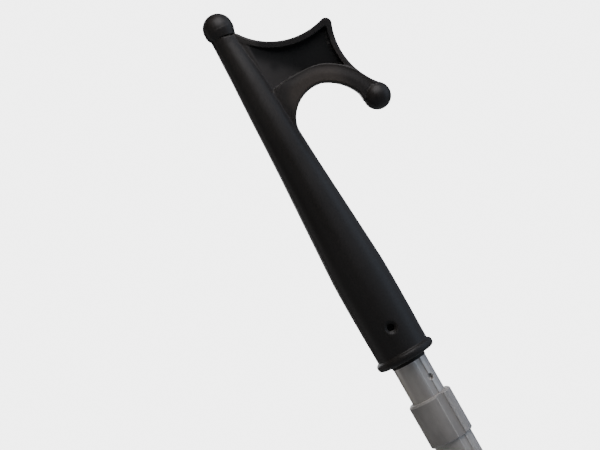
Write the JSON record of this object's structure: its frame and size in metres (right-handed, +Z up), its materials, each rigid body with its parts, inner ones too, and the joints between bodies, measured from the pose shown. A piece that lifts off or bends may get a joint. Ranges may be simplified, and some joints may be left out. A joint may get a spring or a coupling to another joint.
{
  "type": "telescopic boat hook",
  "caption": "Telescopic pole with a moulded hook head: ball nose, ribbed web, side hook with a ball tip, sliding tubes with a snap lock, and a butt grip.",
  "frame": {"origin": "centre of the flat end of the butt, on the pole's axis", "axes": "+Z up the pole from the butt to the head, +X towards the side that the hook is on, -Y the front; stored collapsed"},
  "size_m": [0.0924, 0.0384, 1.4013],
  "materials": {
    "nylon_black": "moulded, satin",
    "rubber_black": "matte",
    "tube_aluminium": "grey anodised, satin",
    "collar_grey": "moulded, satin",
    "grip_grey": "moulded, fine grain",
    "pad_rubber": "matte",
    "plug_nylon": "natural nylon",
    "foam_white": "closed-cell foam",
    "steel_bright": "stainless, polished",
    "steel_dark": "blackened stainless"
  },
  "bodies": {
    "handle": {"outer_tube": "tube_aluminium", "guide_collar": "collar_grey", "collar_rivets": "steel_bright", "wiper_ring": "rubber_black", "grip_sleeve": "grip_grey", "grip_end_cap": "grip_grey", "butt_pad": "pad_rubber", "end_plug": "plug_nylon", "end_screw": "steel_bright", "stow_bumper": "rubber_black"},
    "shaft": {"hook_head": "nylon_black", "head_screws": "steel_dark", "head_seal": "rubber_black", "head_plug": "plug_nylon", "inner_tube": "tube_aluminium", "float_foam": "foam_white", "guide_plug": "plug_nylon", "guide_pin": "steel_bright", "button_spring": "steel_bright"},
    "button": {"lock_button": "steel_bright"}
  },
  "joints": [
    {"name": "extend", "type": "slide", "parent": "handle", "child": "shaft", "axis": [0, 0, 1], "range_m": [0, 1.038]},
    {"name": "lock_press", "type": "slide", "parent": "shaft", "child": "button", "axis": [0, 1, 0], "range_m": [0, 0.003], "stiffness_N_per_m": 500, "springref_m": 0.003, "deforming": ["button_spring"]}
  ]
}
